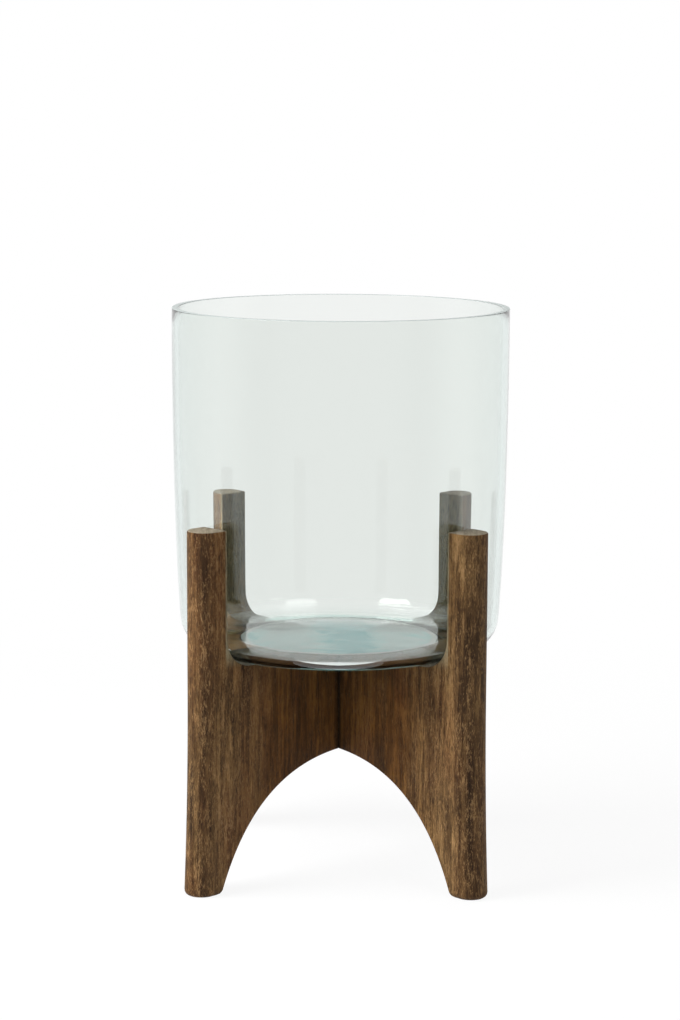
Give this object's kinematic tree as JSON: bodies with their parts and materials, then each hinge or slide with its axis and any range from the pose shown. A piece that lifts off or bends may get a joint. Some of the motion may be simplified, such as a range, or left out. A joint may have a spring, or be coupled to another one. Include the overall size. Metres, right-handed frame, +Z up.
{
  "type": "glass vase on wooden stand",
  "caption": "Wide round glass vase that stands loose between the posts of an arched, stained wooden cross stand.",
  "frame": {"origin": "on the floor, under the vase's axis, where the four legs would meet", "axes": "+Z up along the vase's axis, -Y towards the viewer of the front, +X to the right; the legs stand on the diagonals"},
  "size_m": [0.2208, 0.2208, 0.3715],
  "materials": {
    "clear_glass": "clear with a faint green-grey tint, fire-polished",
    "stained_wood": "dark brown stain with an upright grain, matt lacquer",
    "bare_wood": "plain turned hardwood, glued"
  },
  "bodies": {
    "stand": {"front_left_leg": "stained_wood", "front_right_leg": "stained_wood", "back_left_leg": "stained_wood", "back_right_leg": "stained_wood", "front_dowel_lower": "bare_wood", "front_dowel_upper": "bare_wood", "right_dowel_lower": "bare_wood", "right_dowel_upper": "bare_wood", "back_dowel_lower": "bare_wood", "back_dowel_upper": "bare_wood", "left_dowel_lower": "bare_wood", "left_dowel_upper": "bare_wood"},
    "vase": {"glass_vase": "clear_glass"}
  },
  "joints": [
    {"name": "vase_lift", "type": "slide", "parent": "stand", "child": "vase", "axis": [0, 0, 1], "range_m": [0, 0.12]}
  ]
}
